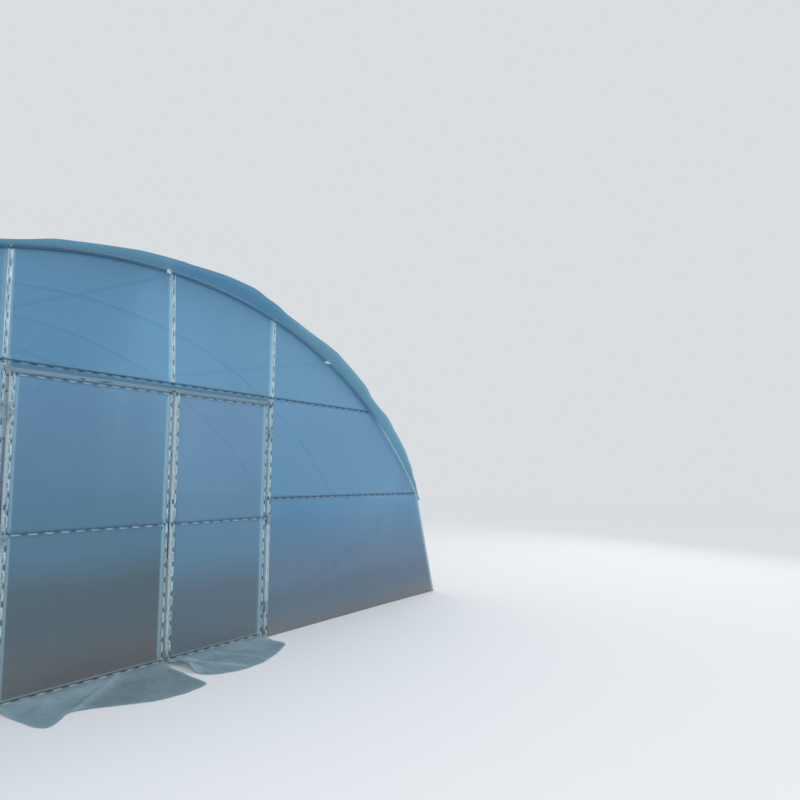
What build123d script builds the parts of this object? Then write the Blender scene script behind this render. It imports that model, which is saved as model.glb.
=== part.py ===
from build123d import *
import math
import os

os.makedirs("parts", exist_ok=True)

# Driving dimensions of the tunnel, in millimetres. X runs along the gable, Y down the tunnel, Z up.
half_span = 4000.0          # tunnel centre to a hoop's foot, at the ground
ridge_height = 2810.0       # ground to the hoop's centre line at the ridge
leg_lean = 420.0            # how far out a leg leans between the knee and the ground
knee_height = 1150.0        # ground to where the arch and the leg meet
knee_bend_radius = 400.0
bay_length = 1200.0
bay_count = 6

hoop_diameter = 32.0
purlin_diameter = 25.0
purlin_wall = 1.5
purlin_inset = 1740.0           # knee to a side purlin, across the tunnel
frame_tube_diameter = 32.0      # gable posts, header and rails, and the leaves' stiles
frame_tube_wall = 1.5
leaf_rail_diameter = 25.0
leaf_rail_set_back = 0.5        # behind the stiles' front

door_half_width = 1140.0        # tunnel centre to a door post
meeting_offset = 103.0          # tunnel centre to the line where the two leaves meet
header_height = 2000.0
centre_post_foot_offset = 80.0  # the centre post leans a little as it rises
centre_post_head_offset = 45.0
gable_rail_height = 1150.0

leaf_post_gap = 32.0            # between a door post and the leaf beside it
leaf_meeting_gap = 36.0
leaf_header_gap = 39.0
leaf_ground_gap = 24.0
leaf_mid_rail_height = 990.0

channel_width = 30.0            # film lock channel, across its back
channel_front_width = 24.0
channel_mouth = 18.0
channel_depth = 12.0
channel_wall = 1.2
side_lock_offset = 90.0         # knee to the side lock rail, down the leg

film_thickness = 2.0            # stands for 0.15 mm film
film_edge_length = 180.0        # loose roof film in front of the first hoop
film_edge_flare = 36.0          # how far its free edge stands up from the roof
film_back_overhang = 20.0
seat_gap = 0.3                  # between round tubes that rest on one another

brace_diameter = 25.0
brace_foot_height = 120.0
brace_head_height = 900.0

hinge_heights = (260.0, 980.0, 1700.0)
hinge_pin_diameter = 8.0
hinge_fit_gap = 0.1             # round the pin, on the radius
hinge_barrel_diameter = 14.0
hinge_barrel_length = 25.0
hinge_barrel_gap = 1.0
hinge_plate_width = 44.0
hinge_plate_thickness = 3.0
hinge_pin_stand_off = 8.0       # film's face to the pin's axis

tail_reach = 640.0              # film tail on the ground, out from the first hoop
tail_slope_reach = 160.0        # where the tail comes down to the ground
tail_thickness = 3.0
tail_root_depth = 6.0           # the tail's upper edge, down the leaf's film
tail_ground_gap = 1.5
tail_corner_radius = 25.0
tail_drawn_width = 1140.0       # the door half width that the tails' edges are drawn for

# Outer edge of each tail, as distances from the tunnel's centre and out from the first hoop
tail_edges = {
    "left": [
        (-1085, tail_slope_reach),
        (-1090, 430),
        (-1060, 500),
        (-990, 470),
        (-850, 365),
        (-760, 400),
        (-438, 611),
        (-230, tail_reach),
        (-23, 605),
        (32, 318),
        (64, tail_slope_reach),
    ],
    "right": [
        (115, tail_slope_reach),
        (85, 336),
        (100, 430),
        (149, 488),
        (318, 555),
        (556, 544),
        (830, 440),
        (1071, 309),
        (1085, tail_slope_reach),
    ],
}

# Sizes that follow from them
hoop_radius = hoop_diameter / 2
purlin_radius = purlin_diameter / 2
frame_radius = frame_tube_diameter / 2
length = bay_length * bay_count
back_reach = hoop_radius + channel_depth + film_thickness + film_back_overhang
front_y = (tail_reach - length - back_reach) / 2
back_y = front_y + length
knee_half_width = half_span - leg_lean
ridge_rise = ridge_height - knee_height
arch_radius = (knee_half_width**2 + ridge_rise**2) / (2 * ridge_rise)
arch_centre_height = ridge_height - arch_radius
knee = Vector(knee_half_width, 0, knee_height)
foot = Vector(half_span, 0, 0)
leg_down = (foot - knee).normalized()
leg_out = Vector(-leg_down.Z, 0, leg_down.X)
toe = foot + leg_down * hoop_diameter
forward = Vector(0, -1, 0)
backward = Vector(0, 1, 0)
channel_back = channel_width / 2
channel_face = frame_radius + channel_depth
film_face = channel_face + film_thickness
ground_trim = 3 * half_span     # larger than anything that is trimmed level with the ground
channel_outline = [
    (-channel_width / 2, 0),
    (channel_width / 2, 0),
    (channel_front_width / 2, channel_depth),
    (channel_mouth / 2, channel_depth),
    (channel_width / 2 - channel_wall, channel_wall),
    (channel_wall - channel_width / 2, channel_wall),
    (-channel_mouth / 2, channel_depth),
    (-channel_front_width / 2, channel_depth),
]


def save(piece, name):
    piece.part.label = name
    export_step(piece.part, f"parts/{name}.step")


def hoop_line(plane):
    # Centre line of one hoop, from below its left foot over the ridge to below its right foot
    with BuildLine(plane) as line:
        Line((-toe.X, toe.Z), (-knee.X, knee.Z))
        ThreePointArc((-knee.X, knee.Z), (0, ridge_height), (knee.X, knee.Z))
        Line((knee.X, knee.Z), (toe.X, toe.Z))
        fillet(line.vertices().sort_by(Axis.X)[1:-1], knee_bend_radius)
    return line.line


def arch_area(grow):
    # The tunnel's cross-section above the ground, out to the hoop's centre line and grown past it
    with BuildSketch(Plane.XZ) as area:
        with BuildLine():
            add(hoop_line(Plane.XY))
            Line((toe.X, toe.Z), (-toe.X, toe.Z))
        make_face()
        offset(amount=grow)
        Rectangle(ground_trim, ground_trim, align=(Align.CENTER, Align.MAX), mode=Mode.SUBTRACT)
    return area.sketch


def arch_block(grow, y_from, y_to):
    with BuildPart() as block:
        with BuildSketch(Plane.XZ.offset(-y_from)):
            add(arch_area(grow))
        extrude(amount=y_from - y_to)
    return block.part


def tube(start, end, diameter, wall):
    run = (end - start).normalized()
    with BuildPart() as piece:
        with BuildSketch(Plane(origin=start, z_dir=run)):
            Circle(diameter / 2)
            Circle(diameter / 2 - wall, mode=Mode.SUBTRACT)
        extrude(amount=(end - start).length)
    return piece.part


def lock_channel(start, end, face):
    # A film lock channel that lies on its back along start to end and opens towards face
    run = (end - start).normalized()
    with BuildPart() as piece:
        with BuildSketch(Plane(origin=start, x_dir=face.cross(run), z_dir=run)):
            with BuildLine():
                Polyline(*channel_outline, close=True)
            make_face()
        extrude(amount=(end - start).length)
    return piece.part


# Hoops: one bent tube each, its feet cut level with the ground
for number in range(bay_count + 1):
    with BuildPart() as hoop:
        with BuildLine() as hoop_path:
            add(hoop_line(Plane.XZ.offset(-front_y - number * bay_length)))
        with BuildSketch(Plane(origin=hoop_path.line @ 0, z_dir=hoop_path.line % 0)):
            Circle(hoop_radius)
        sweep()
        split(bisect_by=Plane.XY, keep=Keep.TOP)
    save(hoop, f"hoop_{number + 1}")

# Purlins: tubes under the hoops, at the ridge and half-way down each side
purlin_drop = hoop_radius + purlin_radius + seat_gap
purlin_tilt = math.asin((knee_half_width - purlin_inset) / arch_radius)
purlin_places = {
    "ridge_purlin": 0.0,
    "left_purlin": -purlin_tilt,
    "right_purlin": purlin_tilt,
}
for name, tilt in purlin_places.items():
    purlin_x = (arch_radius - purlin_drop) * math.sin(tilt)
    purlin_z = arch_centre_height + (arch_radius - purlin_drop) * math.cos(tilt)
    with BuildPart() as purlin:
        add(tube(
            Vector(purlin_x, front_y - hoop_radius, purlin_z),
            Vector(purlin_x, back_y + hoop_radius, purlin_z),
            purlin_diameter,
            purlin_wall,
        ))
    save(purlin, name)

# Side lock rails: film lock channels along the outside of the hoops, just below the knees
side_lock_centre = knee + leg_down * side_lock_offset + leg_out * (hoop_radius + seat_gap)
with BuildPart() as right_lock_rail:
    add(lock_channel(
        side_lock_centre + backward * (front_y - hoop_radius),
        side_lock_centre + backward * (back_y + hoop_radius),
        leg_out,
    ))
save(right_lock_rail, "right_lock_rail")

with BuildPart() as left_lock_rail:
    mirror(right_lock_rail.part, about=Plane.YZ)
save(left_lock_rail, "left_lock_rail")

# Corner braces: from the foot of each end hoop up to the next hoop, inside the legs
brace_inset = leg_out * -(hoop_radius + brace_diameter / 2 + seat_gap)
brace_foot = foot - leg_down * (brace_foot_height / -leg_down.Z) + brace_inset
brace_head = foot - leg_down * (brace_head_height / -leg_down.Z) + brace_inset
with BuildPart() as front_right_brace:
    add(tube(
        brace_foot + backward * front_y,
        brace_head + backward * (front_y + bay_length),
        brace_diameter,
        purlin_wall,
    ))
save(front_right_brace, "front_right_brace")

with BuildPart() as front_left_brace:
    mirror(front_right_brace.part, about=Plane.YZ)
save(front_left_brace, "front_left_brace")

with BuildPart() as back_right_brace:
    add(tube(
        brace_foot + backward * back_y,
        brace_head + backward * (back_y - bay_length),
        brace_diameter,
        purlin_wall,
    ))
save(back_right_brace, "back_right_brace")

with BuildPart() as back_left_brace:
    mirror(back_right_brace.part, about=Plane.YZ)
save(back_left_brace, "back_left_brace")

# Gable frames: a header and rails from hoop to hoop, and posts from the ground to the hoop
header_underside = header_height - frame_radius - seat_gap
header_top = header_height + frame_radius + seat_gap
rail_inner_end = door_half_width + frame_radius + seat_gap
centre_post_slope = (centre_post_foot_offset - centre_post_head_offset) / (ridge_height - header_height)
centre_post_foot_height = header_top + frame_radius * centre_post_slope
for end_name, end_y in (("front", front_y), ("back", back_y)):
    inside_hoop = arch_block(-hoop_radius - seat_gap, end_y - frame_radius, end_y + frame_radius)
    for side_name, post_x in (("left", -door_half_width), ("right", door_half_width)):
        post_tubes = [
            tube(
                Vector(post_x, end_y, low_z),
                Vector(post_x, end_y, high_z),
                frame_tube_diameter,
                frame_tube_wall,
            )
            for low_z, high_z in ((0.0, header_underside), (header_top, ridge_height))
        ]
        with BuildPart() as post:
            add(post_tubes)
            add(inside_hoop, mode=Mode.INTERSECT)
        save(post, f"{end_name}_{side_name}_post")
    centre_tube = tube(
        Vector(centre_post_foot_offset, end_y, centre_post_foot_height),
        Vector(centre_post_head_offset, end_y, ridge_height),
        frame_tube_diameter,
        frame_tube_wall,
    )
    with BuildPart() as centre_post:
        add(centre_tube)
        add(inside_hoop, mode=Mode.INTERSECT)
    save(centre_post, f"{end_name}_centre_post")
    header_tube = tube(
        Vector(-half_span, end_y, header_height),
        Vector(half_span, end_y, header_height),
        frame_tube_diameter,
        frame_tube_wall,
    )
    with BuildPart() as header:
        add(header_tube)
        add(inside_hoop, mode=Mode.INTERSECT)
    save(header, f"{end_name}_header")
    rail_tubes = [
        tube(
            Vector(side * rail_inner_end, end_y, gable_rail_height),
            Vector(side * half_span, end_y, gable_rail_height),
            frame_tube_diameter,
            frame_tube_wall,
        )
        for side in (-1, 1)
    ]
    with BuildPart() as rails:
        add(rail_tubes)
        add(inside_hoop, mode=Mode.INTERSECT)
    save(rails, f"{end_name}_side_rails")

# Gable lock channels: on the outer face of every gable tube, and round the end hoops
header_channel_low = header_height - channel_back
header_channel_high = header_height + channel_back
centre_channel_foot_height = header_channel_high + channel_back * centre_post_slope + seat_gap
gable_ends = (("front", front_y, forward), ("back", back_y, backward))
for end_name, end_y, face in gable_ends:
    tube_face = face * frame_radius + backward * end_y
    channel_y = sorted((end_y, end_y + face.Y * channel_face))
    inside_arch_channel = arch_block(-channel_back - seat_gap, *channel_y)
    runs = [
        (Vector(-half_span, 0, header_height), Vector(half_span, 0, header_height)),
        (
            Vector(centre_post_foot_offset, 0, centre_channel_foot_height),
            Vector(centre_post_head_offset, 0, ridge_height),
        ),
    ]
    for side in (-1, 1):
        post_x = side * door_half_width
        rail_start = side * (door_half_width + channel_back)
        runs.append((Vector(post_x, 0, 0), Vector(post_x, 0, header_channel_low)))
        runs.append((Vector(post_x, 0, header_channel_high), Vector(post_x, 0, ridge_height)))
        runs.append((Vector(rail_start, 0, gable_rail_height), Vector(side * half_span, 0, gable_rail_height)))
    gable_strips = [lock_channel(start + tube_face, end + tube_face, face) for start, end in runs]
    with BuildPart() as gable_channels:
        for strip in gable_strips:
            add(strip)
        add(inside_arch_channel, mode=Mode.INTERSECT)
    save(gable_channels, f"{end_name}_gable_channels")

    with BuildPart() as arch_channel:
        with BuildLine() as arch_channel_path:
            add(hoop_line(Plane.XZ.offset(-end_y - face.Y * hoop_radius)))
        arch_start = arch_channel_path.line @ 0
        arch_run = arch_channel_path.line % 0
        with BuildSketch(Plane(origin=arch_start, x_dir=face.cross(arch_run), z_dir=arch_run)):
            with BuildLine():
                Polyline(*channel_outline, close=True)
            make_face()
        sweep()
        split(bisect_by=Plane.XY, keep=Keep.TOP)
    save(arch_channel, f"{end_name}_arch_channel")

# Roof film: one sheet over the hoops, from side lock rail to side lock rail
film_inside = hoop_radius + seat_gap
film_outside = film_inside + film_thickness
roof_front = front_y - hoop_radius
roof_back = back_y + back_reach
lock_top_edge = knee + leg_down * (side_lock_offset - channel_back)
with BuildPart() as roof_film:
    with BuildSketch(Plane.XZ.offset(-roof_front)):
        add(arch_area(film_outside))
        add(arch_area(film_inside), mode=Mode.SUBTRACT)
    extrude(amount=roof_front - roof_back)
    for side in (-1, 1):
        cut_at = Vector(side * lock_top_edge.X, 0, lock_top_edge.Z)
        cut_up = Vector(-side * leg_down.X, 0, -leg_down.Z)
        split(bisect_by=Plane(origin=cut_at, z_dir=cut_up), keep=Keep.TOP)
save(roof_film, "roof_film")

# Loose front edge of the roof film: it stands up a little in front of the first hoop
edge_tilt = math.acos((header_height - arch_centre_height) / arch_radius)
with BuildPart() as roof_film_edge:
    with BuildSketch(Plane.YZ):
        with BuildLine():
            Polyline(
                (roof_front, arch_centre_height + arch_radius + film_inside),
                (roof_front - film_edge_length, arch_centre_height + arch_radius + film_inside + film_edge_flare),
                (roof_front - film_edge_length, arch_centre_height + arch_radius + film_outside + film_edge_flare),
                (roof_front, arch_centre_height + arch_radius + film_outside),
                close=True,
            )
        make_face()
    revolve(axis=Axis((0, 0, arch_centre_height), (0, 1, 0)), revolution_arc=math.degrees(edge_tilt))
    mirror(about=Plane.YZ)
save(roof_film_edge, "roof_film_edge")

# Side films: from the side lock rails down the legs to the ground
lock_low_edge = side_lock_offset + channel_back
side_film_section = []
for stand_off, drop in ((film_inside, lock_low_edge), (film_outside, lock_low_edge)):
    corner = knee + leg_out * stand_off + leg_down * drop
    side_film_section.append((corner.X, corner.Z))
for stand_off in (film_outside, film_inside):
    corner = knee + leg_out * stand_off
    corner += leg_down * (corner.Z / -leg_down.Z)
    side_film_section.append((corner.X, corner.Z))
with BuildPart() as right_side_film:
    with BuildSketch(Plane.XZ.offset(-roof_front)):
        with BuildLine():
            Polyline(*side_film_section, close=True)
        make_face()
    extrude(amount=roof_front - back_y - hoop_radius)
save(right_side_film, "right_side_film")

with BuildPart() as left_side_film:
    mirror(right_side_film.part, about=Plane.YZ)
save(left_side_film, "left_side_film")

# Gable films: over the lock channels, with the front left open between the door posts
film_side_edge = door_half_width - channel_back
film_high = ridge_height + hoop_diameter
front_film_panels = {
    "front_left_film": (-half_span - hoop_diameter, -film_side_edge, 0.0),
    "front_right_film": (film_side_edge, half_span + hoop_diameter, 0.0),
    "front_top_film": (-film_side_edge, film_side_edge, header_channel_low),
}
front_film_block = arch_block(channel_back, front_y - film_face, front_y - channel_face)
for name, (low_x, high_x, low_z) in front_film_panels.items():
    with BuildPart() as gable_film:
        with BuildSketch(Plane.XZ.offset(film_face - front_y)):
            with Locations((low_x, low_z)):
                Rectangle(high_x - low_x, film_high - low_z, align=(Align.MIN, Align.MIN))
        extrude(amount=-film_thickness)
        add(front_film_block, mode=Mode.INTERSECT)
    save(gable_film, name)

with BuildPart() as back_film:
    add(arch_block(channel_back, back_y + channel_face, back_y + film_face))
save(back_film, "back_film")

# Door leaves: welded tube frames, their lock channels, film, hinges and the film's tail
leaf_top = header_height - frame_radius - leaf_header_gap - frame_radius
leaf_bottom = leaf_ground_gap + frame_radius
hinge_stile = door_half_width - leaf_post_gap - frame_tube_diameter
hinge_axis_x = door_half_width - frame_radius - leaf_post_gap / 2
pin_y = front_y - film_face - hinge_pin_stand_off
plate_middle_y = front_y - film_face - hinge_plate_thickness / 2
meeting_half_gap = leaf_meeting_gap / 2 + frame_radius
leaf_rail_y = leaf_rail_diameter / 2 + leaf_rail_set_back - frame_radius
tail_slope_foot = tail_slope_reach + tail_corner_radius
leaf_spans = {
    "left": (-1, -hinge_stile, meeting_offset - meeting_half_gap),
    "right": (1, hinge_stile, meeting_offset + meeting_half_gap),
}
for side_name, (side, hinge_x, meeting_x) in leaf_spans.items():
    low_x, high_x = sorted((hinge_x, meeting_x))
    stile_ends = ((low_x, leaf_bottom - frame_radius), (high_x, leaf_bottom - frame_radius))
    with BuildPart() as leaf_frame:
        for stile_x, stile_z in stile_ends:
            with BuildSketch(Plane.XY.offset(stile_z)):
                with Locations((stile_x, front_y)):
                    Circle(frame_radius)
            extrude(amount=leaf_top - leaf_bottom + frame_tube_diameter)
        for rail_z in (leaf_bottom, leaf_mid_rail_height, leaf_top):
            with BuildSketch(Plane.YZ.offset(low_x)):
                with Locations((front_y + leaf_rail_y, rail_z)):
                    Circle(leaf_rail_diameter / 2)
            extrude(amount=high_x - low_x)
    save(leaf_frame, f"{side_name}_door_frame")

    leaf_face = Vector(0, front_y - frame_radius, 0)
    leaf_runs = [
        (Vector(stile_x, 0, leaf_bottom - channel_back), Vector(stile_x, 0, leaf_top + channel_back))
        for stile_x in (low_x, high_x)
    ]
    leaf_runs += [
        (Vector(low_x + channel_back, 0, rail_z), Vector(high_x - channel_back, 0, rail_z))
        for rail_z in (leaf_bottom, leaf_mid_rail_height, leaf_top)
    ]
    leaf_strips = [lock_channel(start + leaf_face, end + leaf_face, forward) for start, end in leaf_runs]
    with BuildPart() as leaf_channels:
        for strip in leaf_strips:
            add(strip)
    save(leaf_channels, f"{side_name}_door_channels")

    with BuildPart() as leaf_film:
        with BuildSketch(Plane.XZ.offset(film_face - front_y)):
            with Locations((low_x - channel_back, leaf_bottom - channel_back)):
                Rectangle(
                    high_x - low_x + channel_width,
                    leaf_top - leaf_bottom + channel_width,
                    align=(Align.MIN, Align.MIN),
                )
        extrude(amount=-film_thickness)
    save(leaf_film, f"{side_name}_door_film")

    tail_edge = [(x * door_half_width / tail_drawn_width, reach) for x, reach in tail_edges[side_name]]
    with BuildPart() as tail:
        with BuildSketch(Plane.XY.offset(tail_ground_gap)):
            with BuildLine():
                FilletPolyline(
                    *[(x, front_y - reach) for x, reach in tail_edge],
                    radius=tail_corner_radius,
                    close=True,
                )
            make_face()
        extrude(amount=tail_thickness)
        with BuildSketch(Plane.YZ.offset(tail_edge[0][0])):
            with BuildLine():
                Polyline(
                    (front_y - film_face, leaf_bottom),
                    (front_y - tail_slope_foot, tail_ground_gap + tail_thickness),
                    (front_y - tail_slope_foot, tail_ground_gap),
                    (front_y - film_face, leaf_bottom - tail_root_depth),
                    close=True,
                )
            make_face()
        extrude(amount=tail_edge[-1][0] - tail_edge[0][0])
    save(tail, f"{side_name}_door_tail")

    # Hinges: two outer barrels and the pin on the post, the middle barrel on the leaf
    axis_x = side * hinge_axis_x
    barrel_pitch = hinge_barrel_length + hinge_barrel_gap
    with BuildPart() as post_hinges:
        for height in hinge_heights:
            for level in (-1, 1):
                with BuildSketch(Plane.XY.offset(height + level * barrel_pitch - hinge_barrel_length / 2)):
                    with Locations((axis_x, pin_y)):
                        Circle(hinge_barrel_diameter / 2)
                    with Locations((axis_x + side * hinge_plate_width / 2, plate_middle_y)):
                        Rectangle(hinge_plate_width, hinge_plate_thickness)
                extrude(amount=hinge_barrel_length)
            with BuildSketch(Plane.XY.offset(height - barrel_pitch)):
                with Locations((axis_x, pin_y)):
                    Circle(hinge_pin_diameter / 2)
            extrude(amount=2 * barrel_pitch)
            with BuildSketch(Plane.XY.offset(height - barrel_pitch)):
                with Locations((axis_x + side * (hinge_plate_width + hinge_barrel_diameter) / 2, plate_middle_y)):
                    Rectangle(hinge_plate_width - hinge_barrel_diameter, hinge_plate_thickness)
            extrude(amount=2 * barrel_pitch)
    save(post_hinges, f"{side_name}_post_hinges")

    with BuildPart() as leaf_hinges:
        for height in hinge_heights:
            with BuildSketch(Plane.XY.offset(height - hinge_barrel_length / 2)):
                with Locations((axis_x, pin_y)):
                    Circle(hinge_barrel_diameter / 2)
                with Locations((axis_x - side * hinge_plate_width / 2, plate_middle_y)):
                    Rectangle(hinge_plate_width, hinge_plate_thickness)
                with Locations((axis_x, pin_y)):
                    Circle(hinge_pin_diameter / 2 + hinge_fit_gap, mode=Mode.SUBTRACT)
            extrude(amount=hinge_barrel_length)
    save(leaf_hinges, f"{side_name}_door_hinges")
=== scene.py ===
import math

import bpy
import numpy as np
from mathutils import Matrix, Vector, geometry, noise


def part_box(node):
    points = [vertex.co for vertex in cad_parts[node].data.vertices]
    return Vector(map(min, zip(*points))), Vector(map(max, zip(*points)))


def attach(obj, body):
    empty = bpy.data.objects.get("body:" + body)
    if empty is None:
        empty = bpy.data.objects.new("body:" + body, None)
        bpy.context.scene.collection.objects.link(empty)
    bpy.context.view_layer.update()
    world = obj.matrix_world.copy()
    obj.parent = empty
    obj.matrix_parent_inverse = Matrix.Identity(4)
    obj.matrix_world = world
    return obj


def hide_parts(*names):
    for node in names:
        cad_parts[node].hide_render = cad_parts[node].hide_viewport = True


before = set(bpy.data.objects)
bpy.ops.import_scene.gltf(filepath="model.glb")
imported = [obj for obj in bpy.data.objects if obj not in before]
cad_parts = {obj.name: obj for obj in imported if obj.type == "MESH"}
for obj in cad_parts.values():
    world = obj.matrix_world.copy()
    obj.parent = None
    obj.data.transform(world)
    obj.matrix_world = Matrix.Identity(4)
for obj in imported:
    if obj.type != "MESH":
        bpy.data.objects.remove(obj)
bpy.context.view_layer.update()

# The tunnel's own line: arch, knee bend and leaning leg, in metres, as the tubes were bent
tunnel = {
    "halfSpan": 4.0,
    "ridgeHeight": 2.81,
    "kneeHalfWidth": 3.58,
    "kneeHeight": 1.15,
    "kneeBend": 0.4,
    "bayLength": 1.2,
    "bayCount": 6,
    "lockDrop": 0.09,  # knee to the side lock rail, down the leg
    "purlinX": 1.84,
}
hoopLow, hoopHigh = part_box("hoop_1")
frontY = (hoopLow.y + hoopHigh.y) / 2
backY = frontY + tunnel["bayLength"] * tunnel["bayCount"]
hoopRadius = (hoopHigh.y - hoopLow.y) / 2

seatGap = 0.0003  # between a piece and what carries it

channel = {
    "halfBack": 0.015,
    "halfMouth": 0.009,
    "depth": 0.012,
    "face": hoopRadius + 0.012,  # mouth, out from the middle of the gable tubes
}

# Lock wires: spring wire bent in a zigzag, pressed into the channels over the film
wire = {
    "radius": 0.0016,
    "wave": 0.104,
    "swing": 0.0082,
    "depth": 0.0048,   # wire's middle under the channel's mouth
    "sides": 5,
    "steps": 10,       # points to a wave
}

# Lengths and centres of the hoop's three stretches, found from the sizes above
rise = tunnel["ridgeHeight"] - tunnel["kneeHeight"]
archRadius = (tunnel["kneeHalfWidth"] ** 2 + rise**2) / (2 * rise)
archCentre = Vector((0, tunnel["ridgeHeight"] - archRadius))
foot = Vector((tunnel["halfSpan"], 0))
knee = Vector((tunnel["kneeHalfWidth"], tunnel["kneeHeight"]))
legDown = (foot - knee).normalized()
legOut = Vector((-legDown.y, legDown.x))
bendRadius = tunnel["kneeBend"]
inset = knee - legOut * bendRadius - archCentre
half = legDown.dot(inset)
bendReach = -half - math.sqrt(half**2 - inset.length_squared + (archRadius - bendRadius) ** 2)
bendCentre = knee - legOut * bendRadius + legDown * bendReach
legAngle = math.atan2(legOut.y, legOut.x)
archAngle = math.atan2((bendCentre - archCentre).y, (bendCentre - archCentre).x)
legLength = (foot - knee).length - bendReach
bendLength = bendRadius * (archAngle - legAngle)
ridgeLength = legLength + bendLength + archRadius * (math.pi / 2 - archAngle)
hoopLength = 2 * ridgeLength
lockLength = (foot - knee).length - tunnel["lockDrop"]


def hoopAt(s, off=0.0):
    # Point (x, z) and outward normal, s metres from the right foot along the hoop, off metres outside it
    side = 1
    if s > ridgeLength:
        side, s = -1, hoopLength - s
    if s <= legLength:
        point, normal = foot - legDown * s, legOut
    elif s <= legLength + bendLength:
        angle = legAngle + (s - legLength) / bendRadius
        normal = Vector((math.cos(angle), math.sin(angle)))
        point = bendCentre + normal * bendRadius
    else:
        angle = archAngle + (s - legLength - bendLength) / archRadius
        normal = Vector((math.cos(angle), math.sin(angle)))
        point = archCentre + normal * archRadius
    point = point + normal * off
    return Vector((side * point.x, point.y)), Vector((side * normal.x, normal.y))


def hoopSpot(s, off, y):
    # The same point as a place in the tunnel
    point, _ = hoopAt(s, off)
    return point.x, y, point.y


def lengthAtX(x):
    return legLength + bendLength + archRadius * (math.acos(x / archRadius) - archAngle)


def lengthAtHeight(z):
    if z < -legDown.y * legLength:
        return z / -legDown.y
    return lengthAtX(math.sqrt(archRadius**2 - (z - archCentre.y) ** 2))


def smooth(a, b, x):
    t = min(1.0, max(0.0, (x - a) / (b - a)))
    return t * t * (3 - 2 * t)


def follow(points, x):
    # Value of a smooth curve through (place, value) pairs
    if x <= points[0][0]:
        return points[0][1]
    for (a, valueA), (b, valueB) in zip(points, points[1:]):
        if x <= b:
            return valueA + (valueB - valueA) * smooth(a, b, x)
    return points[-1][1]


def wave(x, y, z, size):
    return noise.noise(Vector((x, y, z)) / size)


def hump(x, width):
    return math.exp(-((x / width) ** 2))


def zigzagAt(place):
    # Which side of its channel the lock wire is on, -1 to 1, at a place along the channel
    return max(-1.0, min(1.0, 1.35 * math.sin(2 * math.pi * place / wire["wave"])))


def meshPiece(name, points, faces, material, body, smoothShade=True):
    mesh = bpy.data.meshes.new(name)
    mesh.from_pydata([tuple(p) for p in points], [], faces)
    mesh.validate()
    mesh.update()
    if smoothShade:
        mesh.shade_smooth()
    piece = bpy.data.objects.new(name, mesh)
    bpy.context.scene.collection.objects.link(piece)
    mesh.materials.append(material)
    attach(piece, body)
    return piece


def gridFaces(rows, columns):
    return [
        (r * columns + c, r * columns + c + 1, (r + 1) * columns + c + 1, (r + 1) * columns + c)
        for r in range(rows - 1)
        for c in range(columns - 1)
    ]


def paint(piece, names, marks):
    # For each point one value for each name, which the film's material reads
    for name, values in zip(names, zip(*marks)):
        attribute = piece.data.attributes.new(name, "FLOAT", "POINT")
        attribute.data.foreach_set("value", np.array(values, np.float32))


# Shader nodes, set up once and shared
def addNode(tree, kind, **values):
    node = tree.nodes.new(kind)
    for key, value in values.items():
        if key in node.inputs:
            node.inputs[key].default_value = value
        else:
            setattr(node, key, value)
    return node


def shaderColour(values):
    # A colour as a screen shows it, 0 to 255, as the light values that the shader wants
    shares = [v / 255 for v in values]
    return (*(v / 12.92 if v <= 0.04045 else ((v + 0.055) / 1.055) ** 2.4 for v in shares), 1.0)


def feed(tree, socket, value):
    # Links a socket, or sets its number or its colour
    if isinstance(value, bpy.types.NodeSocket):
        tree.links.new(value, socket)
    else:
        socket.default_value = shaderColour(value) if isinstance(value, tuple) else value


def connect(tree, node, sources):
    for label, source in sources.items():
        feed(tree, node.inputs[label], source)


def newGroup(name, inputs, outputs):
    # Inputs with their usual values, where a colour is three numbers; an output named Color is one too
    tree = bpy.data.node_groups.new(name, "ShaderNodeTree")
    for label, value in inputs.items():
        kind = "NodeSocketColor" if isinstance(value, tuple) else "NodeSocketFloat"
        socket = tree.interface.new_socket(label, in_out="INPUT", socket_type=kind)
        feed(tree, socket, value)
    for label in outputs:
        kind = "NodeSocketColor" if label == "Color" else "NodeSocketFloat"
        tree.interface.new_socket(label, in_out="OUTPUT", socket_type=kind)
    return tree, tree.nodes.new("NodeGroupInput").outputs, tree.nodes.new("NodeGroupOutput")


def placeGroup(tree, group, values):
    node = tree.nodes.new("ShaderNodeGroup")
    node.node_tree = group
    connect(tree, node, values)
    return node


def newMaterial(name):
    material = bpy.data.materials.new(name)
    material.use_nodes = True
    tree = material.node_tree
    return material, tree, tree.nodes["Principled BSDF"]


def patternNode(tree, kind, place, size, **values):
    node = addNode(tree, kind, **values)
    connect(tree, node, {"Vector": place, "Scale": size})
    return node


def heightOf(tree):
    # Height over the ground
    place = tree.nodes.new("ShaderNodeTexCoord")
    split = tree.nodes.new("ShaderNodeSeparateXYZ")
    tree.links.new(place.outputs["Object"], split.inputs[0])
    return split.outputs["Z"]


def addBump(tree, shader, height, strength, distance):
    bump = addNode(tree, "ShaderNodeBump", Strength=strength, Distance=distance)
    connect(tree, bump, {"Height": height})
    connect(tree, shader, {"Normal": bump.outputs[0]})


def mixColours(tree, factor, a, b):
    mix = addNode(tree, "ShaderNodeMix", data_type="RGBA")
    for index, value in ((0, factor), (6, a), (7, b)):
        feed(tree, mix.inputs[index], value)
    return mix.outputs[2]


def calculate(tree, operation, *values, clamp=False):
    node = addNode(tree, "ShaderNodeMath", operation=operation, use_clamp=clamp)
    for socket, value in zip(node.inputs, values):
        feed(tree, socket, value)
    return node.outputs[0]


def ramp(tree, source, low, high, start=0.0, end=1.0):
    # From low, where the source is at start, to high, where it is at end
    node = addNode(tree, "ShaderNodeMapRange")
    connect(tree, node, {"Value": source, "From Min": start, "From Max": end, "To Min": low, "To Max": high})
    return node.outputs["Result"]


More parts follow.
